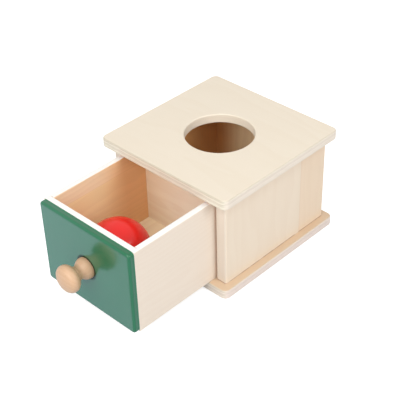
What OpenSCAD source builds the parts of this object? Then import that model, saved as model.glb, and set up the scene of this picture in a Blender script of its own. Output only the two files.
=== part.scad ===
// Object permanence box: a square wooden box with a ball hole in its lid and a pull-out drawer.
// Millimetres. The origin is the middle of the underside, +X runs right along the front,
// +Y runs to the back and +Z is up. The drawer is drawn pulled out by drawer_open,
// with the ball lying against its front board.

/* [Plates] */
// Width of the top and base plates
plate_w = 130; // [115:1:160]
// Depth of the top and base plates
plate_d = 130; // [115:1:160]
// Thickness of both plates
plate_t = 8; // [6:0.5:12]
// Radius of the plates' corners, seen from above
plate_corner_r = 5; // [2.5:0.5:10]
// Radius of the plates' eased edges
plate_edge_r = 1.2; // [0.4:0.1:2]

/* [Ball hole] */
// Diameter of the hole in the top plate
hole_d = 55; // [46:0.5:65]
// Radius of the hole's eased rims
hole_edge_r = 1; // [0.4:0.1:2]

/* [Walls] */
// Thickness of the side and back walls
wall_t = 10; // [7:0.5:14]
// Height of the walls between the plates
wall_h = 75; // [60:1:100]
// How far the plates stand past the walls at the sides and the back
side_overhang = 6.5; // [3:0.5:12]
// How far the plates stand past the walls at the front
front_overhang = 7.5; // [3:0.5:14]
// Radius of the walls' eased upright edges
wall_edge_r = 1.5; // [0.5:0.1:3]

/* [Dowels] */
// Diameter of the dowels that join plates and walls
dowel_d = 5; // [3:0.5:6]
// Depth of a dowel in the face of a board
dowel_in_face = 5; // [3:0.5:5.5]
// Depth of a dowel in the edge of a board
dowel_in_edge = 10; // [6:0.5:15]
// Distance of a dowel from the end of its wall
dowel_inset = 18; // [14:0.5:24]
// Chamfer on a dowel's ends
dowel_chamfer = 0.8; // [0.2:0.1:1.2]

/* [Drawer] */
// How far the drawer is pulled out
drawer_open = 84; // [0:1:95]
// Running gap between the drawer and each side wall
drawer_side_gap = 1; // [0.4:0.1:2]
// Gap between the drawer and the top plate
drawer_top_gap = 2.7; // [0.5:0.1:5]
// Running gap between the drawer and the base plate
drawer_run_gap = 0.3; // [0.1:0.1:0.6]
// Gap behind the closed drawer
drawer_stop_gap = 0.3; // [0.1:0.1:2]
// Thickness of the drawer's sides, front board and back board
board_t = 5; // [4:0.5:8]
// Radius of the boards' eased top edges
board_edge_r = 0.8; // [0.2:0.1:1.5]
// Thickness of the drawer's bottom
bottom_t = 3; // [2:0.5:5]
// Depth of the rebates that hold the boards and the bottom
rebate_depth = 2.5; // [1:0.5:3]

/* [Green front] */
// Thickness of the green front panel
panel_t = 5; // [3.5:0.5:8]
// Radius of the panel's corners
panel_corner_r = 3; // [2.5:0.5:8]
// Radius of the panel's eased front edges
panel_edge_r = 2; // [0.5:0.1:2.4]

/* [Knob] */
// Length of the knob from the panel to its tip
knob_len = 23; // [22:0.5:28]
// Diameter of the knob's head
knob_head_d = 22; // [19:0.5:26]
// Thickness of the knob's head
knob_head_t = 12; // [11:0.5:14]
// Radius of the rim round the knob's head
knob_rim_r = 5; // [3.5:0.1:5.2]
// Largest diameter of the knob's foot
knob_foot_d = 17; // [15.5:0.5:20]
// Radius of the rounding on the knob's foot
knob_foot_r = 7; // [6:0.25:7.5]
// Height of the foot's widest ring above the panel
knob_foot_ring = 1; // [0.5:0.5:2]
// Diameter of the knob's neck
knob_neck_d = 11; // [9:0.5:12]
// Radius of the hollow turned into the neck
knob_cove_r = 3.5; // [2.5:0.5:5]

/* [Knob screw] */
// Diameter of the screw's shank
screw_d = 4; // [3:0.5:5]
// Length of the screw, with its countersunk head
screw_len = 25; // [16:1:27]
// Diameter of the screw's head
screw_head_d = 7.5; // [6:0.5:10]
// Height of the screw's head
screw_head_h = 2.2; // [1.5:0.1:3.5]

/* [Ball] */
// Diameter of the ball
ball_d = 50; // [45:0.5:54]
// How far the ball lies to the right of the middle
ball_x = -5; // [-15:1:15]
// Gap between the ball and the boards that it lies against
ball_gap = 0.3; // [0.1:0.1:0.6]

/* [Hidden] */
$fn = 64;

// Glue line round a dowel or a screw, and at the end of its hole
glue_gap = 0.1;
// How far every cut runs past the surface that it opens
overrun = 1;

// The box
box_h = wall_h + 2 * plate_t;
wall_front_y = front_overhang - plate_d / 2;
wall_back_y = plate_d / 2 - side_overhang;
wall_len = wall_back_y - wall_front_y;
bay_w = plate_w - 2 * side_overhang - 2 * wall_t;
bay_d = wall_len - wall_t;
dowel_len = dowel_in_face + dowel_in_edge;

// The drawer: its tray lies behind the green panel
drawer_w = bay_w - 2 * drawer_side_gap;
drawer_h = wall_h - drawer_top_gap - drawer_run_gap;
drawer_len = bay_d - drawer_stop_gap;
drawer_z = plate_t + drawer_run_gap;
drawer_front_y = wall_front_y - drawer_open;
tray_front_y = drawer_front_y + panel_t;
tray_back_y = drawer_front_y + drawer_len;
tray_len = tray_back_y - tray_front_y;
seat_w = drawer_w - 2 * board_t + 2 * rebate_depth;
knob_z = drawer_z + drawer_h / 2;

// The knob: each dome of the head is an arc that meets the rim's arc smoothly
head_rise = knob_head_t / 2 - knob_rim_r;
head_reach = knob_head_d / 2 - knob_rim_r;
dome_drop = (head_reach * head_reach - head_rise * head_rise) / (2 * head_rise);
dome_r = dome_drop + knob_head_t / 2;
head_mid = knob_len - knob_head_t / 2;
dome_edge = head_reach * dome_r / (dome_r - knob_rim_r);

// The knob's foot runs smoothly into the hollow of its neck
foot_x = knob_foot_d / 2 - knob_foot_r;
cove_x = knob_neck_d / 2 + knob_cove_r;
foot_to_cove = knob_foot_r + knob_cove_r;
cove_rise = sqrt(foot_to_cove * foot_to_cove - (cove_x - foot_x) * (cove_x - foot_x));
cove_share = knob_foot_r / foot_to_cove;
neck_foot_r = foot_x + cove_share * (cove_x - foot_x);
neck_foot_y = knob_foot_ring + cove_share * cove_rise;

plate_color = "#F0E2CE";
wall_color = "#EAD6BE";
tray_color = "#EDDCC8";
dowel_color = "#D9B98C";
panel_color = "#3F8A6B";
knob_color = "#E6C39B";
steel_color = "#B9BCBF";
ball_color = "#E8322C";

// Places of the upright dowels, seen from above: two in each wall
plate_dowel_places = concat(
    [for (side = [-1, 1], y = [wall_front_y + dowel_inset, wall_back_y - dowel_inset])
        [side * (bay_w + wall_t) / 2, y]],
    [for (side = [-1, 1])
        [side * (bay_w / 2 - dowel_inset), wall_back_y - wall_t / 2]]);

// Heights of the level dowels that join the back wall to the side walls
back_dowel_heights = [plate_t + dowel_inset, box_h - plate_t - dowel_inset];

// What an arc of radius r takes off a corner at the origin, of a shape that lies at -X and -Y
module corner_waste(r) {
    difference() {
        translate([-r, -r]) square(r + overrun);
        translate([-r, -r]) circle(r);
    }
}

// Rectangle that stands on the X axis, centred on it, with its upper corners rounded by top_r
// and its lower ones by low_r
module eased_rect(w, h, top_r, low_r = 0) {
    difference() {
        translate([-w / 2, 0]) square([w, h]);
        for (side = [0, 1]) mirror([side, 0]) {
            if (top_r > 0) translate([w / 2, h]) corner_waste(top_r);
            if (low_r > 0) translate([w / 2, 0]) mirror([0, 1]) corner_waste(low_r);
        }
    }
}

// Flat slab on the XY plane, centred, with rounded corners and eased upper and lower edges
module eased_slab(w, d, t, corner_r, top_r, low_r) {
    corners = [[1, 1], [-1, 1], [-1, -1], [1, -1]];
    rotate([90, 0, 0]) linear_extrude(d - 2 * corner_r, center = true) eased_rect(w, t, top_r, low_r);
    rotate([90, 0, 90]) linear_extrude(w - 2 * corner_r, center = true) eased_rect(d, t, top_r, low_r);
    for (k = [0 : 3])
        translate([corners[k].x * (w / 2 - corner_r), corners[k].y * (d / 2 - corner_r), 0])
            rotate(90 * k) rotate_extrude(angle = 90) intersection() {
                eased_rect(2 * corner_r, t, top_r, low_r);
                square([corner_r, t]);
            }
}

// Block between two corners
module block(low, high) {
    translate(low) cube(high - low);
}

// One dowel along +Z, with chamfered ends
module dowel() {
    r = dowel_d / 2;
    rotate_extrude() polygon([[0, 0], [r - dowel_chamfer, 0], [r, dowel_chamfer],
        [r, dowel_len - dowel_chamfer], [r - dowel_chamfer, dowel_len], [0, dowel_len]]);
}

// Hole for a dowel, which sinks from the origin along +Z to the depth given
module dowel_hole(depth) {
    translate([0, 0, -overrun]) cylinder(d = dowel_d + 2 * glue_gap, h = overrun + depth + glue_gap);
}

// The holes that the upright dowels need at the joint at height z, along +Z or -Z
module upright_holes(z, way, depth) {
    for (p = plate_dowel_places)
        translate([p.x, p.y, z]) rotate([way > 0 ? 0 : 180, 0, 0]) dowel_hole(depth);
}

// The eased rim of the ball hole, at the top face of the top plate
module hole_rim() {
    rotate_extrude() translate([hole_d / 2, 0]) mirror([1, 0]) corner_waste(hole_edge_r);
}

// A drawer board's outline along X or Y: upright, with its top edges eased
module board_outline() {
    eased_rect(board_t, drawer_h, board_edge_r);
}

// The rebate round the drawer's foot that the bottom is set into
module bottom_rebate() {
    block([-seat_w / 2, tray_front_y + board_t - rebate_depth, drawer_z - overrun],
          [seat_w / 2, tray_back_y - board_t + rebate_depth, drawer_z + bottom_t]);
}

// Puts a shape drawn along +Z on the knob's axis, at the inner face of the front board, pointing out
module at_knob_screw() {
    translate([0, tray_front_y + board_t, knob_z]) rotate([90, 0, 0]) children();
}

// The countersunk screw along +Z from its flush face, larger by gap all round
module screw_shape(gap) {
    cylinder(d = screw_d + 2 * gap, h = screw_len + gap);
    cylinder(d1 = screw_head_d + 2 * gap, d2 = screw_d + 2 * gap, h = screw_head_h);
}

// The screw's hole through the front board and the green panel into the knob
module screw_hole() {
    at_knob_screw() {
        screw_shape(glue_gap);
        translate([0, 0, -overrun]) cylinder(d = screw_head_d + 2 * glue_gap, h = overrun);
    }
}

module top_plate() {
    color(plate_color) difference() {
        translate([0, 0, box_h - plate_t])
            eased_slab(plate_w, plate_d, plate_t, plate_corner_r, plate_edge_r, plate_edge_r);
        translate([0, 0, box_h - plate_t - overrun]) cylinder(d = hole_d, h = plate_t + 2 * overrun);
        translate([0, 0, box_h]) hole_rim();
        translate([0, 0, box_h - plate_t]) mirror([0, 0, 1]) hole_rim();
        upright_holes(box_h - plate_t, 1, dowel_in_face);
    }
}

module base_plate() {
    color(plate_color) difference() {
        eased_slab(plate_w, plate_d, plate_t, plate_corner_r, plate_edge_r, plate_edge_r);
        upright_holes(plate_t, -1, dowel_in_face);
    }
}

// The right side wall; the left one is its mirror image
module side_wall() {
    back_y = wall_back_y - wall_t / 2;
    color(wall_color) difference() {
        translate([(bay_w + wall_t) / 2, wall_front_y, plate_t])
            linear_extrude(wall_h) eased_rect(wall_t, wall_len, wall_edge_r, wall_edge_r);
        upright_holes(plate_t, 1, dowel_in_edge);
        upright_holes(box_h - plate_t, -1, dowel_in_edge);
        for (z = back_dowel_heights)
            translate([bay_w / 2, back_y, z]) rotate([0, 90, 0]) dowel_hole(dowel_in_face);
    }
}

module right_wall() {
    side_wall();
}

module left_wall() {
    mirror([1, 0, 0]) side_wall();
}

module back_wall() {
    color(wall_color) difference() {
        block([-bay_w / 2, wall_back_y - wall_t, plate_t], [bay_w / 2, wall_back_y, plate_t + wall_h]);
        upright_holes(plate_t, 1, dowel_in_edge);
        upright_holes(box_h - plate_t, -1, dowel_in_edge);
        for (side = [0, 1], z = back_dowel_heights) mirror([side, 0, 0])
            translate([bay_w / 2, wall_back_y - wall_t / 2, z]) rotate([0, -90, 0]) dowel_hole(dowel_in_edge);
    }
}

module top_dowels() {
    color(dowel_color) for (p = plate_dowel_places)
        translate([p.x, p.y, box_h - plate_t - dowel_in_edge]) dowel();
}

module base_dowels() {
    color(dowel_color) for (p = plate_dowel_places)
        translate([p.x, p.y, plate_t - dowel_in_face]) dowel();
}

module back_dowels() {
    color(dowel_color) for (side = [0, 1], z = back_dowel_heights) mirror([side, 0, 0])
        translate([bay_w / 2 - dowel_in_edge, wall_back_y - wall_t / 2, z]) rotate([0, 90, 0]) dowel();
}

module drawer_front_panel() {
    color(panel_color) difference() {
        translate([0, tray_front_y, knob_z]) rotate([90, 0, 0])
            eased_slab(drawer_w, drawer_h, panel_t, panel_corner_r, panel_edge_r, 0);
        screw_hole();
    }
}

// A board across the drawer, set into the side boards' rebates, from low_y to low_y + board_t
module cross_board(low_y) {
    translate([-seat_w / 2, low_y + board_t / 2, drawer_z]) rotate([90, 0, 90])
        linear_extrude(seat_w) board_outline();
}

module drawer_front_board() {
    color(tray_color) difference() {
        cross_board(tray_front_y);
        bottom_rebate();
        screw_hole();
    }
}

module drawer_back_board() {
    color(tray_color) difference() {
        cross_board(tray_back_y - board_t);
        bottom_rebate();
    }
}

// The right side board; the left one is its mirror image
module side_board() {
    rebate_x = seat_w / 2;
    color(tray_color) difference() {
        translate([(drawer_w - board_t) / 2, tray_back_y, drawer_z]) rotate([90, 0, 0])
            linear_extrude(tray_len) board_outline();
        bottom_rebate();
        for (y = [tray_front_y - overrun, tray_back_y - board_t])
            block([rebate_x - rebate_depth - overrun, y, drawer_z - overrun],
                  [rebate_x, y + board_t + overrun, drawer_z + drawer_h + overrun]);
    }
}

module drawer_right_side() {
    side_board();
}

module drawer_left_side() {
    mirror([1, 0, 0]) side_board();
}

module drawer_bottom() {
    color(tray_color)
        block([-seat_w / 2, tray_front_y + board_t - rebate_depth, drawer_z],
              [seat_w / 2, tray_back_y - board_t + rebate_depth, drawer_z + bottom_t]);
}

// Half of the knob's outline: distance from its axis along X, distance from the panel along Y
module knob_outline() {
    // Foot, rounded over its widest ring
    intersection() {
        translate([foot_x, knob_foot_ring]) circle(knob_foot_r);
        square([knob_foot_d / 2, neck_foot_y]);
    }
    square([foot_x, neck_foot_y]);
    // Neck, hollowed between foot and head
    difference() {
        translate([0, neck_foot_y]) square([neck_foot_r, head_mid - neck_foot_y]);
        translate([cove_x, knob_foot_ring + cove_rise]) circle(knob_cove_r);
    }
    // Head, domed on both faces with a round rim
    translate([head_reach, head_mid]) circle(knob_rim_r);
    intersection() {
        translate([0, head_mid - dome_drop]) circle(dome_r);
        translate([0, head_mid + dome_drop]) circle(dome_r);
        translate([0, head_mid - knob_head_t]) square([dome_edge, 2 * knob_head_t]);
    }
}

module knob() {
    color(knob_color) difference() {
        translate([0, drawer_front_y, knob_z]) rotate([90, 0, 0]) rotate_extrude() knob_outline();
        screw_hole();
    }
}

module knob_screw() {
    color(steel_color) at_knob_screw() screw_shape(0);
}

module ball() {
    color(ball_color)
        translate([ball_x, tray_front_y + board_t + ball_gap + ball_d / 2, drawer_z + bottom_t + ball_gap + ball_d / 2])
            sphere(d = ball_d);
}

top_plate();
base_plate();
left_wall();
right_wall();
back_wall();
top_dowels();
base_dowels();
back_dowels();
drawer_front_panel();
drawer_front_board();
drawer_left_side();
drawer_right_side();
drawer_back_board();
drawer_bottom();
knob();
knob_screw();
ball();
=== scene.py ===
"""Finishes for a wooden object permanence box, with a green drawer front, a turned knob and a red ball.

The file is laid out as an add-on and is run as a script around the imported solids, which keep their shapes.
Lengths are in metres in the solids' own frame, and wood is grown in millimetres."""

import math
from collections import namedtuple

import bmesh
import bpy
from bpy.props import FloatProperty, FloatVectorProperty, IntProperty, PointerProperty
from mathutils import Matrix, Vector


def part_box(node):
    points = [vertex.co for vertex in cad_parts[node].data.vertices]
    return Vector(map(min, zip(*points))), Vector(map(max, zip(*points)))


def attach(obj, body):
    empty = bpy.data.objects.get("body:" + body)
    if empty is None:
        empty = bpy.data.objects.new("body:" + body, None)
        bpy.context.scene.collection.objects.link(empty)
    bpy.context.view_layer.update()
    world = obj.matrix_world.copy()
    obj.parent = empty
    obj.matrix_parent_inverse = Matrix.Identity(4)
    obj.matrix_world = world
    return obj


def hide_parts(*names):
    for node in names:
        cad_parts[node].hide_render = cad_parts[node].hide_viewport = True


bl_info = {
    "name": "Object Permanence Box",
    "version": (1, 0, 0),
    "blender": (4, 5, 0),
    "location": "View3D > Sidebar > Toy Box",
    "description": "Dresses a wooden box with a drawer and a ball in its real finishes",
    "category": "Object",
}

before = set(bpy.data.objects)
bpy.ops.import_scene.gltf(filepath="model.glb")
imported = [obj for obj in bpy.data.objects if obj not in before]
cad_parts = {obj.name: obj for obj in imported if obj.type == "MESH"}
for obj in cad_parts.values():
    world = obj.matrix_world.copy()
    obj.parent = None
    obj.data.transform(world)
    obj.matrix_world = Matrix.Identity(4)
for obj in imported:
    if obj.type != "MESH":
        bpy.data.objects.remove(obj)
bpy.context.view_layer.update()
MM = 0.001
WHITE = (1.0, 1.0, 1.0)
UP = (0.0, 0.0, 1.0)
DOWN = (0.0, 0.0, -1.0)
FRONT = (0.0, -1.0, 0.0)
BACK = (0.0, 1.0, 0.0)
RIGHT = (1.0, 0.0, 0.0)
LEFT = (-1.0, 0.0, 0.0)

# The turn that brings a piece's grain onto the X axis, along which wood is grown
GRAIN_TURN = {
    "X": (0.0, 0.0, 0.0),
    "Y": (0.0, 0.0, math.radians(-90)),
    "Z": (0.0, math.radians(90), 0.0),
}
# A piece's grain, and how it is moved in its trunk, along and across the grain in millimetres
TRUNKS = {
    "top_plate": ("X", (0.0, 21.0, -150.0)),
    "base_plate": ("X", (63.0, -38.0, 60.0)),
    "left_wall": ("Z", (40.0, -25.0, -95.0)),
    "right_wall": ("Z", (0.0, 12.0, 130.0)),
    "back_wall": ("Z", (90.0, -120.0, 18.0)),
    "top_dowels": ("Z", (0.0, 35.0, 20.0)),
    "base_dowels": ("Z", (0.0, 35.0, 20.0)),
    "back_dowels": ("X", (0.0, 35.0, 20.0)),
    "drawer_front_panel": ("X", (0.0, 30.0, 90.0)),
    "drawer_front_board": ("X", (10.0, 80.0, -20.0)),
    "drawer_back_board": ("X", (-60.0, 140.0, -45.0)),
    "drawer_left_side": ("Y", (25.0, -15.0, -60.0)),
    "drawer_right_side": ("Y", (140.0, 60.0, -32.0)),
    "drawer_bottom": ("Y", (0.0, 20.0, -90.0)),
    "knob": ("X", (0.0, 150.0, -58.0)),
}
NO_TRUNK = ("X", (0.0, 0.0, 0.0))
# How much further the stave beyond a seam is moved, so that its figure differs
NEXT_STAVE = (31.0, 23.0, 58.0)

# A glued seam: its axis, its place along it, and the outer and inner colours of the stave beyond; the inner
# colour is painted light or shade
Seam = namedtuple("Seam", "axis at outside inside")
# Painted shade: an inner face that darkens to a colour between two places along an axis
Depth = namedtuple("Depth", "axis start end colour")
# The direction that a board's edge looks in, its colour there, which is painted light or shade, and the place
# along X of a line of painted shade on it
Edge = namedtuple("Edge", "direction colour lip", defaults=(None,))


def shade(red, green, blue):
    """A linear colour from screen values of 0 to 255, by the usual screen curve."""
    def linear(value):
        share = value / 255
        return share / 12.92 if share <= 0.04045 else ((share + 0.055) / 1.055) ** 2.4
    return linear(red), linear(green), linear(blue)


def colour(title, words, *values):
    """A colour property, whose default is given in screen values."""
    return FloatVectorProperty(name=title, description=words, subtype="COLOR", size=3, min=0, max=1,
                               default=shade(*values))


def length(title, words, millimetres):
    """A length property, whose default is given in millimetres."""
    return FloatProperty(name=title, description=words, subtype="DISTANCE", unit="LENGTH", min=0,
                         default=millimetres * MM)


def factor(title, words, value):
    """A property between 0 and 1."""
    return FloatProperty(name=title, description=words, subtype="FACTOR", min=0, max=1, default=value)


def angle(title, words, degrees):
    """An angle property, whose default is given in degrees."""
    return FloatProperty(name=title, description=words, subtype="ANGLE", default=math.radians(degrees))


def spot(title, words, *metres):
    """A place property, whose default is given in metres."""
    return FloatVectorProperty(name=title, description=words, subtype="TRANSLATION", unit="LENGTH", size=3,
                               default=metres)


class PlyFinish(bpy.types.PropertyGroup):
    """Plywood of the two plates."""

    lid: colour("Lid veneer", "Colour of the lid's upper face", 238, 226, 207)
    # Painted bounce light and shade: the base is the lid's plywood, tinted darker and more orange as it looks
    # beside the walls
    base: colour("Base veneer", "Colour of the base's upper face", 219, 192, 162)
    figure: colour("Figure", "Colour of the veneer's faint darker figure", 222, 202, 172)
    front_edge: colour("Front edge", "Colour of the lid's cut edges along its grain", 234, 226, 208)
    side_edge: colour("Side edge", "Colour of the lid's cut edges across its grain", 240, 228, 213)
    base_front: colour("Base front edge", "Colour of the base's cut edges along its grain", 238, 226, 212)
    base_side: colour("Base side edge", "Colour of the base's cut edges across its grain", 237, 221, 211)
    # End grain is real; the eased edges' darkening towards the same colour is painted shade against their
    # brighter shading
    end_layer: colour("End grain", "Colour that end-grain layers and eased edges darken to", 186, 174, 150)
    # Painted light: the hole's wall is the plates' plywood, made lighter where light falls into the hole
    bore: colour("Hole wall", "Colour of the sanded wall of the ball hole", 245, 232, 212)
    glue: colour("Glue line", "Colour of the lines between the layers", 150, 122, 94)
    layers: IntProperty(name="Layers", description="Number of layers in a plate", default=5, min=3, max=11)
    ring_width: length("Ring width", "Mean width of a growth ring in the veneer", 11.0)
    wobble: length("Wobble", "How far the veneer's growth rings stray", 46.0)
    glue_width: length("Glue line width", "Width of a glue line", 0.3)
    eased_width: length("Eased width", "Width of the eased edges", 1.5)
    ring_strength: factor("Ring strength", "How strongly the growth rings show", 0.08)
    fibre_strength: factor("Fibre strength", "How strongly the fine streaks show", 0.1)
    end_strength: factor("End-grain strength", "How strongly the end-grain layers show", 0.38)
    glue_strength: factor("Glue strength", "How strongly the glue lines show", 0.45)
    eased_strength: factor("Eased strength", "How strongly the eased edges darken", 0.4)
    bore_strength: factor("Hole strength", "How far the hole's own colour hides its layers", 0.85)


class BoardFinish(bpy.types.PropertyGroup):
    """Solid boards of the walls and the drawer."""

    wall: colour("Wall", "Colour of the outer faces of the walls", 239, 223, 202)
    warm_stave: colour("Warm stave", "Colour of the warmer stave at one end of a wall", 238, 216, 190)
    # Painted shade: the walls' front ends and eased edges are the walls' wood, darkened against the light
    # from the front
    wall_end: colour("Wall end", "Colour of the walls' front ends and eased edges", 223, 210, 195)
    # Painted shade and light: the wood inside the box is the walls' wood, darker and more orange for the
    # shade in there, and paler at the back, where more light reaches
    bay: colour("Bay", "Colour of the bare wood inside the box", 228, 170, 108)
    bay_back: colour("Bay back", "Colour of the paler bare wood at the back of the box", 255, 228, 184)
    tray: colour("Drawer board", "Colour of the outer faces of the drawer's boards", 239, 225, 209)
    # Painted light and shade: the drawer's inner faces are its boards' wood, made paler and warmer for the
    # light and bounce inside it
    tray_inside: colour("Drawer side", "Colour of the bare wood of the drawer's left side", 248, 222, 173)
    # Painted light: the paler stave along the top of the drawer's left side is the lit band on that inner
    # face
    tray_upper: colour("Upper stave", "Colour of the paler stave along that side's top", 247, 221, 186)
    # Painted shade: the colours that the drawer's left side and back darken to, towards the back and the
    # corner
    tray_deep: colour("Drawer depth", "Colour that the drawer's left side deepens to", 243, 191, 138)
    tray_back: colour("Drawer back", "Colour of the bare wood of the drawer's other boards", 255, 247, 228)
    tray_corner: colour("Drawer corner", "Colour that the drawer's back deepens to", 246, 232, 204)
    tray_floor: colour("Drawer floor", "Colour of the bare wood of the drawer's bottom", 255, 243, 212)
    # Painted highlight: the drawer boards' upper faces and eased edges are the boards' wood, made near white
    # as if lit from above
    edge: colour("Board edge", "Colour of the drawer boards' upper and eased edges", 250, 248, 245)
    latewood: colour("Latewood", "Colour that growth rings and seams darken to", 196, 152, 108)
    # Painted shade: the dark lines at a wall's foot and on its front end stand in for the shade where parts
    # meet
    joint: colour("Joint", "Colour of the dark lines at a wall's foot and on its front end", 146, 100, 60)
    stave_share: factor("Stave seam", "Where a wall's seam lies, from its first end to its last", 0.74)
    upper_stave: length("Upper stave width", "Width of the stave along the drawer's left side", 13.0)
    ring_width: length("Ring width", "Mean width of a growth ring", 3.4)
    wobble: length("Wobble", "How far the growth rings stray", 14.0)
    seam_core: length("Seam core", "How far a seam is darkest to either side", 0.05)
    seam_width: length("Seam width", "How far a seam fades to either side", 0.3)
    eased_width: length("Eased width", "Width of the eased edges", 0.8)
    # Painted shade: the line on a wall's front end stands in for the shadow in the gap round the drawer
    lip_width: length("Lip width", "Width of the dark line on a wall's front end", 1.3)
    foot_height: length("Foot height", "Height of the dark line along a wall's foot", 1.1)
    line_fade: length("Line fade", "Width over which those two dark lines fade", 0.8)
    figure: factor("Figure", "How strongly the wood's figure shows outside", 0.035)
    bare_figure: factor("Bare figure", "How strongly the wood's figure shows inside", 0.1)
    eased_strength: factor("Eased strength", "How strongly the eased edges show", 0.3)
    seam_strength: factor("Seam strength", "How strongly a seam shows", 0.25)
    edge_strength: factor("Edge strength", "How far an edge takes its own colour", 0.95)
    lip_strength: factor("Lip strength", "How strongly the line on a wall's front end shows", 0.8)
    foot_strength: factor("Foot strength", "How strongly the line along a wall's foot shows", 0.7)


class PaintFinish(bpy.types.PropertyGroup):
    """Painted pieces: the drawer's green front and the red ball."""

    green: colour("Green paint", "Colour of the drawer's front", 32, 104, 68)
    # Painted reflection: the paler green on the left stands in for the brighter floor that the left of the
    # front reflects
    green_thin: colour("Thin paint", "Colour of the paint where it is thinner, on the left", 48, 112, 82)
    green_edge: colour("Green edge", "Colour of the paint on the eased edges and in clouds", 42, 120, 86)
    red: colour("Red lacquer", "Colour of the ball", 248, 44, 39)
    red_deep: colour("Deep red", "Colour of the thicker patches of lacquer", 242, 35, 32)
    # Painted shade round the knob's foot, where it meets the front
    crevice: colour("Crevice", "Colour of the paint in the shaded ring round the knob's foot", 8, 46, 22)
    knob_foot: length("Knob foot", "Radius of the knob's foot, round which the paint is shaded", 8.5)
    ring_start: length("Ring start", "How far from the foot the shaded ring starts to fade", 0.8)
    ring_end: length("Ring end", "How far from the foot the shaded ring ends", 2.6)
    eased_width: length("Eased width", "Width of the eased edges", 1.6)
    matt_width: length("Matt width", "Width of the strip along the edges where the gloss fades", 3.2)
    eased_strength: factor("Eased strength", "How strongly the eased edges show", 0.8)
    green_clouds: factor("Green clouds", "How strongly the green paint's clouds show", 0.2)
    red_clouds: factor("Red clouds", "How strongly the lacquer's thicker patches show", 0.5)
    green_roughness: factor("Green roughness", "Roughness of the satin paint", 0.18)
    green_spread: factor("Green spread", "How far that roughness varies either way", 0.02)
    red_roughness: factor("Red roughness", "Lowest roughness of the ball's lacquer", 0.2)
    red_spread: factor("Red spread", "How far that roughness rises", 0.04)


class TurnedFinish(bpy.types.PropertyGroup):
    """Turned beech, and the screw that holds the knob."""

    beech: colour("Beech", "Colour of the knob and the dowels", 216, 179, 145)
    beech_late: colour("Beech latewood", "Colour that rings and the knob's foot darken to", 200, 154, 114)
    fleck: colour("Ray flecks", "Colour of the short dark flecks in the beech", 176, 126, 90)
    ring_width: length("Ring width", "Mean width of a growth ring in the beech", 2.6)
    wobble: length("Wobble", "How far the beech's growth rings stray", 5.0)
    ring_strength: factor("Ring strength", "How strongly the growth rings show", 0.22)
    fibre_strength: factor("Fibre strength", "How strongly the fine streaks show", 0.25)
    fleck_strength: factor("Fleck strength", "How strongly the ray flecks show", 0.35)
    # Painted shade: the knob darkens towards its foot, as in the head's shadow
    foot_strength: factor("Foot strength", "How strongly the knob darkens towards its foot", 0.1)
    foot_start: factor("Foot start", "Where the knob starts to darken, from its front to its back", 0.5)
    foot_end: factor("Foot end", "Where the knob is darkest, from its front to its back", 0.75)
    steel: colour("Screw steel", "Colour of the screw", 190, 192, 194)
    scuffed: colour("Scuffed steel", "Colour of the screw's duller patches", 150, 152, 156)
    scuff_strength: factor("Scuff strength", "How strongly the duller patches show", 0.8)
    shank: length("Shank", "Radius of the screw's smooth shank", 2.0)
    head_rim: length("Head rim", "Height of the straight rim round the screw's head", 0.25)
    cross_reach: length("Cross reach", "Reach of the cross in the screw's head from the screw's axis", 2.1)
    cross_depth: length("Cross depth", "Depth of the cross", 1.4)
    cross_taper: factor("Cross taper", "Width of the cross at its bottom, as a share of the top's", 0.55)
    plain_shank: length("Plain shank", "Length from the screw's face to the end of its smooth shank", 6.0)
    point: length("Point", "Length of the screw's point", 4.0)
    thread_depth: length("Thread depth", "Height of the thread above the screw's core", 0.5)
    thread_pitch: length("Thread pitch", "Distance between two turns of the thread", 1.8)


class StageLook(bpy.types.PropertyGroup):
    """Camera, floor and light."""

    azimuth: angle("Azimuth", "Camera's turn to the right of the front view", 44.61)
    elevation: angle("Elevation", "Camera's height above the horizon", 36.26)
    roll: angle("Roll", "Camera's turn about its own axis", -1.64)
    distance: length("Distance", "Camera's distance from its target", 782.1)
    target: spot("Target", "Point in the middle of the picture", 0.00711, -0.03086, 0.04715)
    lens: FloatProperty(name="Lens", description="Camera's focal length in millimetres", default=90.88, min=1)
    floor: colour("Floor", "Colour of the pale floor", 206, 206, 206)
    floor_glow: colour("Floor glow", "Cool light of the floor that reflections show", 162, 206, 248)
    floor_reach: length("Floor reach", "Distance from the floor's middle to its sides", 3000)
    floor_white: factor("Floor white", "Light added where the camera sees the floor", 0.68)
    floor_mirrored: factor("Floor mirrored", "Light added where a reflection shows the floor", 0.5)
    sky: factor("Sky", "Light from all sides, as a share of white on a white surface", 0.52)
    key: factor("Key", "Light of the lamp above the front, as a share of white", 0.69)
    key_size: length("Key size", "Width of the lamp above the front", 1200)
    key_place: spot("Key place", "Where the lamp above the front hangs", 0.2, -1.03, 0.8)
    side: factor("Side", "Light of the lamp on the right, as a share of white", 0.31)
    side_size: length("Side size", "Width of the lamp on the right", 500)
    side_place: spot("Side place", "Where the lamp on the right hangs", 1.0, 0.1, 0.7)
    fill: factor("Fill", "Light of the low lamp behind on the left, as a share of white", 0.22)
    fill_size: length("Fill size", "Width of the low lamp behind on the left", 400)
    fill_place: spot("Fill place", "Where the low lamp behind on the left hangs", -1.1, 0.9, 0.25)


def put(tree, socket, value):
    """Links a socket to another, or sets its value; a colour gets full alpha."""
    if isinstance(value, bpy.types.NodeSocket):
        tree.links.new(value, socket)
    elif socket.type == "RGBA":
        socket.default_value = (*value[:3], 1.0)
    else:
        socket.default_value = value


def add(tree, kind, inputs=None, **settings):
    """A new node with its settings, whose inputs are set to values or linked to sockets."""
    made = tree.nodes.new(kind)
    for name, value in settings.items():
        setattr(made, name, value)
    for key, value in (inputs or {}).items():
        put(tree, made.inputs[key], value)
    return made


def maths(tree, operation, first, second=0.0):
    """The result of a Math node."""
    return add(tree, "ShaderNodeMath", {0: first, 1: second}, operation=operation).outputs[0]


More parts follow.
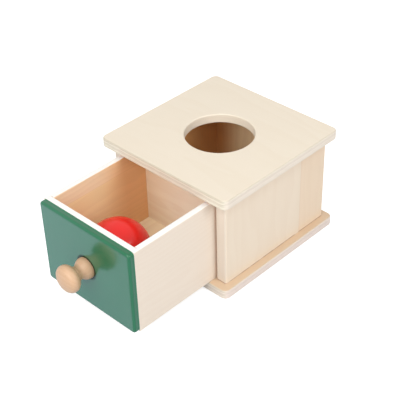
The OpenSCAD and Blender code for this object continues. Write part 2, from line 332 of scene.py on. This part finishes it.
def times(tree, first, second):
    """The product of two values or masks."""
    return maths(tree, "MULTIPLY", first, second)


def flip(tree, value):
    """One less a value."""
    return maths(tree, "SUBTRACT", 1.0, value)


def apart(tree, first, second):
    """How far two values lie apart."""
    return maths(tree, "ABSOLUTE", maths(tree, "SUBTRACT", first, second))


def vectors(tree, operation, first, second):
    """The vector result of a Vector Math node."""
    return add(tree, "ShaderNodeVectorMath", {0: first, 1: second}, operation=operation).outputs["Vector"]


def scaled(tree, vector, scale):
    """A vector times a value."""
    return add(tree, "ShaderNodeVectorMath", {0: vector, "Scale": scale}, operation="SCALE").outputs["Vector"]


def reach(tree, vector, axes):
    """A vector's length, counted over the axes that are marked 1."""
    kept = vectors(tree, "MULTIPLY", vector, axes)
    return add(tree, "ShaderNodeVectorMath", {0: kept}, operation="LENGTH").outputs["Value"]


def split(tree, vector):
    """The X, Y and Z of a vector."""
    return add(tree, "ShaderNodeSeparateXYZ", {0: vector}).outputs


def smooth_step(tree, value, low, high):
    """A value that runs smoothly from 0 at low to 1 at high."""
    return add(tree, "ShaderNodeMapRange", {"Value": value, "From Min": low, "From Max": high},
               interpolation_type="SMOOTHSTEP").outputs["Result"]


def between(tree, share, least, most):
    """A value between two values."""
    ranged = add(tree, "ShaderNodeMapRange", {"Value": share, "To Min": least, "To Max": most})
    return ranged.outputs["Result"]


def mix(tree, share, first, second):
    """A colour between two colours."""
    return add(tree, "ShaderNodeMix", {0: share, 6: first, 7: second}, data_type="RGBA").outputs[2]


def tint(tree, mask, strength, first, second):
    """The first colour, taken towards the second where the mask is 1."""
    return mix(tree, times(tree, mask, strength), first, second)


def noise(tree, vector, waves, detail=2.0, roughness=0.5):
    """A noise texture's outputs; waves are per millimetre along each axis."""
    return add(tree, "ShaderNodeTexNoise", {"Vector": vectors(tree, "MULTIPLY", vector, waves), "Scale": 1.0,
                                            "Detail": detail, "Roughness": roughness}).outputs


def group_tree(name, inputs, outputs):
    """A new node group and its two ends; inputs are named with their kind, and outputs are values."""
    tree = bpy.data.node_groups.new(name, "ShaderNodeTree")
    for title, kind in inputs.items():
        tree.interface.new_socket(title, in_out="INPUT", socket_type="NodeSocket" + kind)
    for title in outputs:
        tree.interface.new_socket(title, in_out="OUTPUT", socket_type="NodeSocketFloat")
    return tree, tree.nodes.new("NodeGroupInput").outputs, tree.nodes.new("NodeGroupOutput").inputs


def solid_wood_group():
    """Solid wood whose trunk runs along X through the origin, in millimetres.

    Rings are the growth rings, Fibre the fine streaks and Flecks the short ray flecks, each from 0 to 1."""
    tree, given, out = group_tree("solid_wood", {"Vector": "Vector", "Ring Width": "Float",
                                                 "Wobble": "Float"}, ["Rings", "Fibre", "Flecks"])
    drift = noise(tree, given["Vector"], waves=(0.008, 0.035, 0.035), detail=3.0)["Color"]
    bend = vectors(tree, "SUBTRACT", drift, (0.5, 0.5, 0.5))
    strayed = vectors(tree, "ADD", given["Vector"], scaled(tree, bend, given["Wobble"]))
    radius = reach(tree, strayed, (0.0, 1.0, 1.0))
    season = maths(tree, "FRACT", maths(tree, "DIVIDE", radius, given["Ring Width"]))
    summer = smooth_step(tree, season, low=0.1, high=0.85)
    winter = flip(tree, smooth_step(tree, season, low=0.88, high=1.0))
    put(tree, out["Rings"], times(tree, summer, winter))
    streaks = noise(tree, given["Vector"], waves=(0.03, 1.6, 1.6), detail=4.0, roughness=0.65)["Fac"]
    put(tree, out["Fibre"], streaks)
    specks = noise(tree, given["Vector"], waves=(0.4, 2.4, 2.4), detail=1.0)["Fac"]
    put(tree, out["Flecks"], smooth_step(tree, specks, low=0.64, high=0.76))
    return tree


def ply_edge_group():
    """The cut edge of plywood, whose Height runs from 0 to 1 through the plate.

    Edge is 1 on cut edges, Side on those that look along X, End on layers that show end grain, most of all on
    the upper ones, and Glue on the broken lines between layers. End grain and long grain change places round
    a corner, as the layers' grain does, and the layers show less on the sides."""
    tree, given, out = group_tree("ply_edge", {"Vector": "Vector", "Height": "Float", "Layers": "Float",
                                               "Line Share": "Float"}, ["Edge", "Side", "End", "Glue"])
    normal = split(tree, add(tree, "ShaderNodeNewGeometry").outputs["Normal"])
    level = smooth_step(tree, maths(tree, "ABSOLUTE", normal["Z"]), low=0.75, high=0.95)
    put(tree, out["Edge"], flip(tree, level))
    sideways = smooth_step(tree, maths(tree, "ABSOLUTE", normal["X"]), low=0.5, high=0.9)
    put(tree, out["Side"], sideways)
    less_on_sides = 0.6
    shown = flip(tree, times(tree, sideways, less_on_sides))
    place = times(tree, given["Height"], given["Layers"])
    odd = maths(tree, "MODULO", maths(tree, "FLOOR", place), 2.0)
    across = flip(tree, apart(tree, odd, sideways))
    upper = times(tree, shown, smooth_step(tree, given["Height"], low=0.0, high=0.8))
    put(tree, out["End"], times(tree, across, upper))
    off_line = maths(tree, "PINGPONG", place, 0.5)
    line = flip(tree, smooth_step(tree, off_line, 0.0, given["Line Share"]))
    off_faces = maths(tree, "MINIMUM", place, maths(tree, "SUBTRACT", given["Layers"], place))
    inner = times(tree, line, smooth_step(tree, off_faces, low=0.3, high=0.6))
    patches = noise(tree, given["Vector"], waves=(0.09, 0.09, 0.5))["Fac"]
    broken = times(tree, inner, smooth_step(tree, patches, low=0.4, high=0.6))
    put(tree, out["Glue"], times(tree, broken, shown))
    return tree


def facing_group():
    """A mask that is 1 on faces that look in a direction."""
    tree, given, out = group_tree("facing", {"Direction": "Vector"}, ["Mask"])
    normal = add(tree, "ShaderNodeNewGeometry").outputs["Normal"]
    along = add(tree, "ShaderNodeVectorMath", {0: normal, 1: given["Direction"]}, operation="DOT_PRODUCT")
    put(tree, out["Mask"], smooth_step(tree, along.outputs["Value"], low=0.5, high=0.9))
    return tree


def eased_edge_group():
    """A mask that is 1 along the edges of a box, given by two of its corners, and fades over a width."""
    tree, given, out = group_tree("eased_edge", {"Vector": "Vector", "Low": "Vector", "High": "Vector",
                                                 "Width": "Float"}, ["Mask"])
    inward = vectors(tree, "MINIMUM", vectors(tree, "SUBTRACT", given["Vector"], given["Low"]),
                     vectors(tree, "SUBTRACT", given["High"], given["Vector"]))
    depth = split(tree, inward)
    nearer = maths(tree, "MINIMUM", depth["X"], depth["Y"])
    further = maths(tree, "MAXIMUM", depth["X"], depth["Y"])
    second = maths(tree, "MAXIMUM", nearer, maths(tree, "MINIMUM", further, depth["Z"]))
    put(tree, out["Mask"], flip(tree, smooth_step(tree, second, 0.0, given["Width"])))
    return tree


def grouped(tree, maker, inputs):
    """The outputs of a node group, which is made the first time that it is asked for."""
    name = maker.__name__.removesuffix("_group")
    made = tree.nodes.new("ShaderNodeGroup")
    made.node_tree = bpy.data.node_groups.get(name) or maker()
    for key, value in inputs.items():
        put(tree, made.inputs[key], value)
    return made.outputs


def new_material(name, **sockets):
    """A material, its node tree and its shader's inputs; what is the same all over is set on the shader."""
    material = bpy.data.materials.new(name)
    material.use_nodes = True
    shader = next(n for n in material.node_tree.nodes if n.type == "BSDF_PRINCIPLED")
    for title, value in sockets.items():
        put(material.node_tree, shader.inputs[title.replace("_", " ")], value)
    return material, material.node_tree, shader.inputs


def here(tree):
    """Object coordinates, in metres."""
    return add(tree, "ShaderNodeTexCoord").outputs["Object"]


def in_trunk(tree, node):
    """Object coordinates in millimetres, turned and moved so that the piece's trunk runs along X."""
    grain, move = TRUNKS.get(node, NO_TRUNK)
    turned = add(tree, "ShaderNodeMapping", {"Vector": here(tree), "Scale": (1 / MM,) * 3, "Location": move,
                                             "Rotation": GRAIN_TURN[grain]}, vector_type="POINT")
    return turned.outputs["Vector"]


def solid_wood(tree, place, finish):
    """The masks of solid wood at a place in its trunk."""
    return grouped(tree, solid_wood_group, {"Vector": place, "Ring Width": finish.ring_width / MM,
                                            "Wobble": finish.wobble / MM})


def facing(tree, direction):
    """The mask of the faces that look in a direction."""
    return grouped(tree, facing_group, {"Direction": direction})["Mask"]


def edges_of(tree, node, width):
    """The mask of a node's eased edges."""
    low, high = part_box(node)
    return grouped(tree, eased_edge_group, {"Vector": here(tree), "Low": low, "High": high,
                                            "Width": width})["Mask"]


def relief(tree, inputs, height, depth, smoothest, roughest, strength=0.4):
    """Fine relief and uneven gloss from one noise, whose values lie mostly between 0.3 and 0.7."""
    rough = add(tree, "ShaderNodeMapRange", {"Value": height, "From Min": 0.3, "From Max": 0.7,
                                             "To Min": smoothest, "To Max": roughest})
    put(tree, inputs["Roughness"], rough.outputs["Result"])
    bent = add(tree, "ShaderNodeBump", {"Height": height, "Distance": depth, "Strength": strength})
    put(tree, inputs["Normal"], bent.outputs["Normal"])


def dress(node, material):
    """Gives a solid of the frame its finish."""
    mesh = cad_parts[node].data
    mesh.materials.clear()
    mesh.materials.append(material)


def dress_ply(node, veneer, edges, finish, shading_painted=None):
    """Plywood: a faintly figured veneer, and layers on the cut edges, with a colour along and one across it.

    A plate with painted shade on its underside has a hole in its middle, whose wall is painted lighter, as
    painted light."""
    material, tree, inputs = new_material(node + "_ply")
    place = in_trunk(tree, node)
    wood = solid_wood(tree, place, finish)
    low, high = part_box(node)
    thickness = high.z - low.z
    height = maths(tree, "DIVIDE", maths(tree, "SUBTRACT", split(tree, here(tree))["Z"], low.z), thickness)
    cut = grouped(tree, ply_edge_group, {"Vector": place, "Height": height, "Layers": finish.layers,
                                         "Line Share": finish.glue_width * finish.layers / thickness})
    face = tint(tree, wood["Rings"], finish.ring_strength, veneer, finish.figure)
    face = tint(tree, wood["Fibre"], finish.fibre_strength, face, finish.figure)
    layer = mix(tree, cut["Side"], *edges)
    layer = tint(tree, cut["End"], finish.end_strength, layer, finish.end_layer)
    layer = tint(tree, cut["Glue"], finish.glue_strength, layer, finish.glue)
    if shading_painted:
        face = mix(tree, facing(tree, DOWN), face, shading_painted)
        past_hole = (high.x - low.x) / 3
        in_hole = maths(tree, "LESS_THAN", reach(tree, here(tree), (1.0, 1.0, 0.0)), past_hole)
        # Painted light: the layers in the hole are taken towards a lighter colour
        layer = tint(tree, in_hole, finish.bore_strength, layer, finish.bore)
    whole = mix(tree, cut["Edge"], face, layer)
    # Painted shade: the eased edges are darkened against their brighter shading
    eased = edges_of(tree, node, finish.eased_width)
    put(tree, inputs["Base Color"], tint(tree, eased, finish.eased_strength, whole, finish.end_layer))
    relief(tree, inputs, wood["Fibre"], depth=0.05 * MM, smoothest=0.42, roughest=0.56)
    dress(node, material)


def dress_board(node, outside, inside, inward, finish, seam=None, shade_ramp=None, edge=None, foot=None):
    """A solid board whose face that looks inward has colours of its own, which are painted light and shade.

    It may have a Seam, a Depth of painted shade on its inner face and an Edge. Foot is the colour of a
    line of painted shade along the lower edge, which only the walls have."""
    material, tree, inputs = new_material(node + "_wood")
    place = in_trunk(tree, node)
    at = split(tree, here(tree))
    if seam:
        beyond = maths(tree, "GREATER_THAN", at[seam.axis], seam.at)
        place = vectors(tree, "ADD", place, scaled(tree, NEXT_STAVE, beyond))
        outside = mix(tree, beyond, outside, seam.outside)
        inside = mix(tree, beyond, inside, seam.inside)
    # Painted shade: the inner face darkens along an axis
    if shade_ramp:
        inside = mix(tree, smooth_step(tree, at[shade_ramp.axis], shade_ramp.start, shade_ramp.end), inside, shade_ramp.colour)
    wood = solid_wood(tree, place, finish)
    eased = edges_of(tree, node, finish.eased_width)
    # The eased edges take painted shade on the walls and a painted highlight on the drawer's boards
    outside = tint(tree, eased, finish.eased_strength, outside, finish.wall_end if foot else finish.edge)
    # Painted light and shade: the faces that look inward take the inner colours
    shading_painted = facing(tree, inward)
    tone = mix(tree, shading_painted, outside, inside)
    shown = between(tree, shading_painted, finish.figure, finish.bare_figure)
    tone = tint(tree, wood["Rings"], shown, tone, finish.latewood)
    tone = tint(tree, wood["Fibre"], shown, tone, finish.latewood)
    if seam:
        off_seam = apart(tree, at[seam.axis], seam.at)
        line = flip(tree, smooth_step(tree, off_seam, finish.seam_core, finish.seam_width))
        tone = tint(tree, line, finish.seam_strength, tone, finish.latewood)
    # Painted light or shade on the faces that look in the edge's direction
    if edge:
        ahead = facing(tree, edge.direction)
        tone = tint(tree, ahead, finish.edge_strength, tone, edge.colour)
        # Painted shade: a dark line on the wall's front end at its inner edge, for the shadow in the gap
        if edge.lip is not None:
            off_gap_shade = apart(tree, at["X"], edge.lip)
            fading = smooth_step(tree, off_gap_shade, finish.lip_width - finish.line_fade, finish.lip_width)
            line = times(tree, ahead, flip(tree, fading))
            tone = tint(tree, line, finish.lip_strength, tone, finish.joint)
    # Painted shade: a broken dark line along the wall's foot, for the contact shade on the base
    if foot:
        line_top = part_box(node)[0].z + finish.foot_height
        fading = smooth_step(tree, at["Z"], line_top - finish.line_fade, line_top)
        broken = smooth_step(tree, noise(tree, place, waves=(0.12,) * 3)["Fac"], low=0.3, high=0.6)
        line = times(tree, flip(tree, fading), broken)
        tone = tint(tree, line, finish.foot_strength, tone, foot)
    put(tree, inputs["Base Color"], tone)
    relief(tree, inputs, wood["Fibre"], depth=0.06 * MM, smoothest=0.42, roughest=0.58)
    dress(node, material)


def dress_beech(node, finish, darker=None):
    """Turned beech with rings and short flecks; darker are two places along Y between which it darkens, as
    painted shade towards the knob's foot.
    """
    material, tree, inputs = new_material(node + "_beech")
    wood = solid_wood(tree, in_trunk(tree, node), finish)
    tone = tint(tree, wood["Rings"], finish.ring_strength, finish.beech, finish.beech_late)
    tone = tint(tree, wood["Fibre"], finish.fibre_strength, tone, finish.beech_late)
    tone = tint(tree, wood["Flecks"], finish.fleck_strength, tone, finish.fleck)
    if darker:
        foot_shade_mask = smooth_step(tree, split(tree, here(tree))["Y"], *darker)
        tone = tint(tree, foot_shade_mask, finish.foot_strength, tone, finish.beech_late)
    put(tree, inputs["Base Color"], tone)
    relief(tree, inputs, wood["Fibre"], depth=0.04 * MM, smoothest=0.34, roughest=0.46)
    dress(node, material)


def new_piece(name, shape, material):
    """An object from a bmesh, smooth apart from its sharp edges."""
    sharp = math.radians(35)
    bmesh.ops.remove_doubles(shape, verts=shape.verts, dist=0.001 * MM)
    bmesh.ops.recalc_face_normals(shape, faces=shape.faces)
    for face in shape.faces:
        face.smooth = True
    for edge in shape.edges:
        edge.smooth = edge.calc_face_angle(0.0) < sharp
    mesh = bpy.data.meshes.new(name)
    shape.to_mesh(mesh)
    shape.free()
    mesh.materials.append(material)
    piece = bpy.data.objects.new(name, mesh)
    bpy.context.scene.collection.objects.link(piece)
    return piece


class TOYBOX_OT_plates(bpy.types.Operator):
    """Dress the lid and the base in plywood"""

    bl_idname = "toybox.plates"
    bl_label = "Plates"

    def execute(self, context):
        finish = context.scene.toybox_ply
        # The lid's underside takes the painted shade colour of the inside of the box
        shading_painted = context.scene.toybox_boards.bay
        dress_ply("top_plate", finish.lid, (finish.front_edge, finish.side_edge), finish, shading_painted=shading_painted)
        dress_ply("base_plate", finish.base, (finish.base_front, finish.base_side), finish)
        return {"FINISHED"}


class TOYBOX_OT_walls(bpy.types.Operator):
    """Dress the side and back walls in edge-glued boards with upright grain"""

    bl_idname = "toybox.walls"
    bl_label = "Walls"

    def execute(self, context):
        finish = context.scene.toybox_boards
        for node, inward in (("right_wall", LEFT), ("left_wall", RIGHT)):
            low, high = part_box(node)
            # Painted shade on the walls' front ends, with a line of painted shade for the gap at their inner
            # edge
            end = Edge(FRONT, finish.wall_end, lip=low.x if inward == LEFT else high.x)
            # The walls' inner faces, and those of the stave beyond the seam, take painted shade
            stave = Seam("Y", self.seam_place(low.y, high.y, finish), finish.warm_stave, finish.bay)
            dress_board(node, finish.wall, finish.bay, inward, finish, seam=stave, edge=end,
                        foot=finish.joint)
        low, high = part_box("back_wall")
        stave = Seam("X", self.seam_place(low.x, high.x, finish), finish.warm_stave, finish.bay_back)
        # Painted shade: the back wall's inner face darkens towards the left corner
        leftward_shading = Depth("X", start=-20 * MM, end=-48 * MM, colour=finish.bay)
        dress_board("back_wall", finish.wall, finish.bay_back, FRONT, finish, seam=stave, shade_ramp=leftward_shading,
                    foot=finish.joint)
        return {"FINISHED"}

    def seam_place(self, first, last, finish):
        """Where the seam lies between a wall's two ends."""
        return first + finish.stave_share * (last - first)


class TOYBOX_OT_dowels(bpy.types.Operator):
    """Dress the dowels in beech"""

    bl_idname = "toybox.dowels"
    bl_label = "Dowels"

    def execute(self, context):
        for node in ("top_dowels", "base_dowels", "back_dowels"):
            dress_beech(node, context.scene.toybox_turned)
        return {"FINISHED"}


class TOYBOX_OT_tray(bpy.types.Operator):
    """Dress the drawer's boards and bottom"""

    bl_idname = "toybox.tray"
    bl_label = "Drawer boards"

    def execute(self, context):
        finish = context.scene.toybox_boards
        # Painted light: the drawer's inner faces and bottom are paler than its outer faces
        pale = finish.tray_back
        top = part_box("drawer_left_side")[1].z
        # Painted light: the stave along the top of the left side's inner face is the lit band there
        stave = Seam("Z", top - finish.upper_stave, finish.tray, finish.tray_upper)
        # Painted shade towards the back under the lid and towards the back's left corner
        backward_shading = Depth("Y", start=-94 * MM, end=-58 * MM, colour=finish.tray_deep)
        leftward_shading = Depth("X", start=10 * MM, end=-42 * MM, colour=finish.tray_corner)
        # Painted highlight: the boards' upper faces are near white
        upper = Edge(UP, finish.edge)
        boards = (("drawer_front_board", pale, BACK, None, None),
                  ("drawer_back_board", pale, FRONT, None, leftward_shading),
                  ("drawer_left_side", finish.tray_inside, RIGHT, stave, backward_shading),
                  ("drawer_right_side", pale, LEFT, None, None))
        for node, inside, inward, seam, shade_ramp in boards:
            dress_board(node, finish.tray, inside, inward, finish, seam=seam, shade_ramp=shade_ramp, edge=upper)
        dress_board("drawer_bottom", finish.tray, finish.tray_floor, UP, finish)
        return {"FINISHED"}


class TOYBOX_OT_front(bpy.types.Operator):
    """Dress the drawer's front in green satin paint"""

    bl_idname = "toybox.front"
    bl_label = "Green front"

    def execute(self, context):
        finish = context.scene.toybox_paint
        node = "drawer_front_panel"
        roughness, spread = finish.green_roughness, finish.green_spread
        material, tree, inputs = new_material("green_satin_paint", Specular_IOR_Level=0.35, Coat_IOR=1.37,
                                              Coat_Roughness=roughness)
        place = in_trunk(tree, node)
        low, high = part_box(node)
        # Painted reflection: the green pales towards the left
        leftward_shading = smooth_step(tree, split(tree, here(tree))["X"], high.x, low.x)
        tone = mix(tree, leftward_shading, finish.green, finish.green_thin)
        cloud = noise(tree, place, waves=(0.04, 0.05, 0.05))["Fac"]
        tone = tint(tree, cloud, finish.green_clouds, tone, finish.green_edge)
        eased = edges_of(tree, node, finish.eased_width)
        tone = tint(tree, eased, finish.eased_strength, tone, finish.green_edge)
        # Painted shade: a dark ring round the knob's foot, also without the gloss coat
        ring = self.shaded_ring(tree, finish)
        put(tree, inputs["Base Color"], mix(tree, ring, tone, finish.crevice))
        matt = maths(tree, "MAXIMUM", edges_of(tree, node, finish.matt_width), ring)
        put(tree, inputs["Coat Weight"], flip(tree, matt))
        rolled = noise(tree, place, waves=(0.18,) * 3)["Fac"]
        relief(tree, inputs, rolled, depth=0.02 * MM, smoothest=roughness - spread,
               roughest=roughness + spread)
        dress(node, material)
        return {"FINISHED"}

    def shaded_ring(self, tree, finish):
        """A mask that is 1 round the knob's foot and fades outwards, where shade is painted on the paint."""
        low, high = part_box("knob")
        off_axis = vectors(tree, "SUBTRACT", here(tree), (low + high) / 2)
        radius = reach(tree, off_axis, (1.0, 0.0, 1.0))
        start = finish.knob_foot + finish.ring_start
        return flip(tree, smooth_step(tree, radius, start, finish.knob_foot + finish.ring_end))


class TOYBOX_OT_knob(bpy.types.Operator):
    """Dress the knob in turned beech"""

    bl_idname = "toybox.knob"
    bl_label = "Knob"

    def execute(self, context):
        finish = context.scene.toybox_turned
        low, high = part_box("knob")
        # Painted shade: the places between which the knob darkens towards its foot
        foot = [low.y + share * (high.y - low.y) for share in (finish.foot_start, finish.foot_end)]
        dress_beech("knob", finish, darker=foot)
        return {"FINISHED"}


class TOYBOX_OT_screw(bpy.types.Operator):
    """Make the knob's screw, with the cross in its head and its thread"""

    bl_idname = "toybox.screw"
    bl_label = "Knob screw"

    def execute(self, context):
        finish = context.scene.toybox_turned
        low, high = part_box("knob_screw")
        head = (high.x - low.x) / 2
        total = high.y - low.y
        shape = bmesh.new()
        self.turn_body(shape, finish, head, total)
        self.wind_thread(shape, finish, total)
        middle = Vector(((low.x + high.x) / 2, high.y, (low.z + high.z) / 2))
        placed = Matrix.Translation(middle) @ Matrix.Rotation(math.radians(-90), 4, "X")
        bmesh.ops.transform(shape, matrix=placed, verts=shape.verts)
        screw = new_piece("cross_head_screw", shape, self.zinc(finish))
        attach(screw, "drawer")
        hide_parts("knob_screw")
        return {"FINISHED"}

    def turn_body(self, shape, finish, head, total):
        """The head with its cross, the shank, the core and the point, along -Z from the head's face."""
        bmesh.ops.create_circle(shape, segments=48, radius=head)
        rim = list(shape.edges)
        self.sink_cross(shape, finish, rim)
        core = finish.shank - finish.thread_depth
        tip = core / 8
        cone_end = finish.head_rim + head - finish.shank
        core_start = finish.plain_shank + finish.thread_depth
        stations = ((head, finish.head_rim), (finish.shank, cone_end), (finish.shank, finish.plain_shank),
                    (core, core_start), (core, total - finish.point), (tip, total))
        edges, radius, depth = rim, head, 0.0
        for new_radius, new_depth in stations:
            pulled = bmesh.ops.extrude_edge_only(shape, edges=edges)["geom"]
            ring = [item for item in pulled if isinstance(item, bmesh.types.BMVert)]
            edges = [item for item in pulled if isinstance(item, bmesh.types.BMEdge)]
            bmesh.ops.scale(shape, vec=(new_radius / radius, new_radius / radius, 1.0), verts=ring)
            bmesh.ops.translate(shape, vec=(0.0, 0.0, depth - new_depth), verts=ring)
            radius, depth = new_radius, new_depth
        bmesh.ops.contextual_create(shape, geom=edges)

    def sink_cross(self, shape, finish, rim):
        """The head's face, with a cross sunk into it: a grid of three by three cells without its corners."""
        bmesh.ops.create_grid(shape, x_segments=3, y_segments=3, size=finish.cross_reach)
        half_arm = finish.cross_reach / 3
        corners = []
        for face in shape.faces:
            middle = face.calc_center_median()
            if min(abs(middle.x), abs(middle.y)) > half_arm:
                corners.append(face)
        bmesh.ops.delete(shape, geom=corners, context="FACES")
        cross = list(shape.faces)
        outline = [edge for edge in shape.edges if edge.is_boundary]
        bmesh.ops.triangle_fill(shape, use_beauty=True, edges=rim + outline)
        sunk = bmesh.ops.extrude_face_region(shape, geom=cross)["geom"]
        floor = [item for item in sunk if isinstance(item, bmesh.types.BMVert)]
        bmesh.ops.delete(shape, geom=cross, context="FACES")
        bmesh.ops.scale(shape, vec=(finish.cross_taper, finish.cross_taper, 1.0), verts=floor)
        bmesh.ops.translate(shape, vec=(0.0, 0.0, -finish.cross_depth), verts=floor)

    def wind_thread(self, shape, finish, total):
        """A ridge wound round the core, from the plain shank to the point; its root lies inside the core."""
        start = finish.plain_shank + finish.thread_depth
        turns = int((total - finish.point - start) / finish.thread_pitch)
        steps = 24 * turns
        root = finish.shank - 1.2 * finish.thread_depth
        half_root = 0.35 * finish.thread_pitch
        profile = [shape.verts.new((radius, 0.0, -start - half_root - rise))
                   for radius, rise in ((root, -half_root), (finish.shank, 0.0), (root, half_root))]
        first = shape.faces.new(profile)
        step_down = finish.thread_pitch * turns / steps
        wound = bmesh.ops.spin(shape, geom=list(first.edges) + profile, axis=UP, cent=(0.0, 0.0, 0.0),
                               steps=steps, angle=math.tau * turns, dvec=(0.0, 0.0, -step_down))
        bmesh.ops.contextual_create(shape, geom=wound["geom_last"])

    def zinc(self, finish):
        """Zinc-plated steel with duller patches."""
        material, tree, inputs = new_material("screw_zinc", Metallic=1.0)
        scuff = noise(tree, in_trunk(tree, "knob_screw"), waves=(3.0,) * 3, detail=3.0)["Fac"]
        tone = tint(tree, scuff, finish.scuff_strength, finish.steel, finish.scuffed)
        put(tree, inputs["Base Color"], tone)
        relief(tree, inputs, scuff, depth=0.01 * MM, smoothest=0.25, roughest=0.45)
        return material


class TOYBOX_OT_ball(bpy.types.Operator):
    """Dress the ball in red lacquer"""

    bl_idname = "toybox.ball"
    bl_label = "Ball"

    def execute(self, context):
        finish = context.scene.toybox_paint
        smoothest = finish.red_roughness
        material, tree, inputs = new_material("red_lacquer", Specular_IOR_Level=0.4)
        place = in_trunk(tree, "ball")
        cloud = noise(tree, place, waves=(0.05,) * 3)["Fac"]
        put(tree, inputs["Base Color"], tint(tree, cloud, finish.red_clouds, finish.red, finish.red_deep))
        peel = noise(tree, place, waves=(0.15,) * 3)["Fac"]
        relief(tree, inputs, peel, depth=0.02 * MM, smoothest=smoothest,
               roughest=smoothest + finish.red_spread, strength=0.2)
        dress("ball", material)
        return {"FINISHED"}


class TOYBOX_OT_stage(bpy.types.Operator):
    """Set the floor, the light and the camera"""

    bl_idname = "toybox.stage"
    bl_label = "Stage"

    def execute(self, context):
        scene = context.scene
        look = scene.toybox_stage
        scene.view_settings.view_transform = "Standard"
        self.lay_floor(scene, look)
        self.light_room(scene, look)
        self.hang_lamp(scene, "key_lamp", look.key, look.key_size, look.key_place)
        self.hang_lamp(scene, "side_lamp", look.side, look.side_size, look.side_place)
        fill = self.hang_lamp(scene, "fill_lamp", look.fill, look.fill_size, look.fill_place)
        fill.visible_glossy = False
        self.set_camera(scene, look)
        return {"FINISHED"}

    def lay_floor(self, scene, look):
        """A wide pale floor, which the camera sees as white apart from the object's shadow."""
        mesh = bpy.data.meshes.new("floor")
        shape = bmesh.new()
        bmesh.ops.create_grid(shape, x_segments=1, y_segments=1, size=look.floor_reach)
        shape.to_mesh(mesh)
        shape.free()
        floor = bpy.data.objects.new("floor", mesh)
        scene.collection.objects.link(floor)
        material, tree, inputs = new_material("pale_floor", Base_Color=look.floor, Roughness=1.0,
                                              Specular_IOR_Level=0.0)
        path = add(tree, "ShaderNodeLightPath").outputs
        put(tree, inputs["Emission Color"], mix(tree, path["Is Camera Ray"], look.floor_glow, WHITE))
        direct = times(tree, path["Is Camera Ray"], look.floor_white)
        mirrored = times(tree, self.mirrored(tree, path), look.floor_mirrored)
        put(tree, inputs["Emission Strength"], maths(tree, "MAXIMUM", direct, mirrored))
        mesh.materials.append(material)

    def light_room(self, scene, look):
        """Even light from all sides; the camera and reflections see white."""
        world = bpy.data.worlds.new("studio")
        scene.world = world
        world.use_nodes = True
        tree = world.node_tree
        path = add(tree, "ShaderNodeLightPath").outputs
        seen = maths(tree, "MAXIMUM", path["Is Camera Ray"], self.mirrored(tree, path))
        backdrop = next(n for n in tree.nodes if n.type == "BACKGROUND")
        put(tree, backdrop.inputs["Color"], WHITE)
        put(tree, backdrop.inputs["Strength"], between(tree, seen, look.sky, 1.0))

    def mirrored(self, tree, path):
        """1 for rays that show a surface by reflection or through glass."""
        return maths(tree, "MAXIMUM", path["Is Glossy Ray"], path["Is Transmission Ray"])

    def hang_lamp(self, scene, name, level, size, place):
        """A square soft lamp that faces the object and lights a white surface there to a share of white."""
        away = Vector(place)
        lamp = bpy.data.lights.new(name, "AREA")
        lamp.energy = level * math.pi ** 2 * away.length_squared
        lamp.size = size
        hung = bpy.data.objects.new(name, lamp)
        scene.collection.objects.link(hung)
        hung.location = away
        hung.rotation_euler = (-away).to_track_quat("-Z", "Y").to_euler()
        return hung

    def set_camera(self, scene, look):
        """The camera at the photograph's angle."""
        back = Vector((math.sin(look.azimuth) * math.cos(look.elevation),
                       -math.cos(look.azimuth) * math.cos(look.elevation), math.sin(look.elevation)))
        right = Vector((math.cos(look.azimuth), math.sin(look.azimuth), 0.0))
        turn = Matrix((right, back.cross(right), back)).transposed() @ Matrix.Rotation(look.roll, 3, "Z")
        data = bpy.data.cameras.new("camera")
        data.lens = look.lens
        camera = bpy.data.objects.new("camera", data)
        scene.collection.objects.link(camera)
        camera.matrix_world = Matrix.Translation(Vector(look.target) + back * look.distance) @ turn.to_4x4()
        scene.camera = camera


OPERATORS = (TOYBOX_OT_plates, TOYBOX_OT_walls, TOYBOX_OT_dowels, TOYBOX_OT_tray, TOYBOX_OT_front,
             TOYBOX_OT_knob, TOYBOX_OT_screw, TOYBOX_OT_ball, TOYBOX_OT_stage)
SETTINGS = {"toybox_ply": PlyFinish, "toybox_boards": BoardFinish, "toybox_paint": PaintFinish,
            "toybox_turned": TurnedFinish, "toybox_stage": StageLook}


class TOYBOX_PT_sidebar(bpy.types.Panel):
    """Lists the steps that dress the box, and their settings"""

    bl_idname = "TOYBOX_PT_sidebar"
    bl_label = "Toy Box"
    bl_space_type = "VIEW_3D"
    bl_region_type = "UI"
    bl_category = "Toy Box"

    def draw(self, context):
        for operator in OPERATORS:
            self.layout.operator(operator.bl_idname)
        for name, group in SETTINGS.items():
            box = self.layout.box()
            for title in group.__annotations__:
                box.prop(getattr(context.scene, name), title)


def register():
    """Registers the classes and hangs the settings on the scene."""
    for made in (*SETTINGS.values(), *OPERATORS, TOYBOX_PT_sidebar):
        bpy.utils.register_class(made)
    for name, group in SETTINGS.items():
        setattr(bpy.types.Scene, name, PointerProperty(type=group))


def unregister():
    """Takes the settings and the classes away again."""
    for name in SETTINGS:
        delattr(bpy.types.Scene, name)
    for made in (TOYBOX_PT_sidebar, *OPERATORS, *SETTINGS.values()):
        bpy.utils.unregister_class(made)


def main():
    register()
    bpy.ops.toybox.plates()
    bpy.ops.toybox.walls()
    bpy.ops.toybox.dowels()
    bpy.ops.toybox.tray()
    bpy.ops.toybox.front()
    bpy.ops.toybox.knob()
    bpy.ops.toybox.screw()
    bpy.ops.toybox.ball()
    bpy.ops.toybox.stage()


if __name__ == "__main__":
    main()
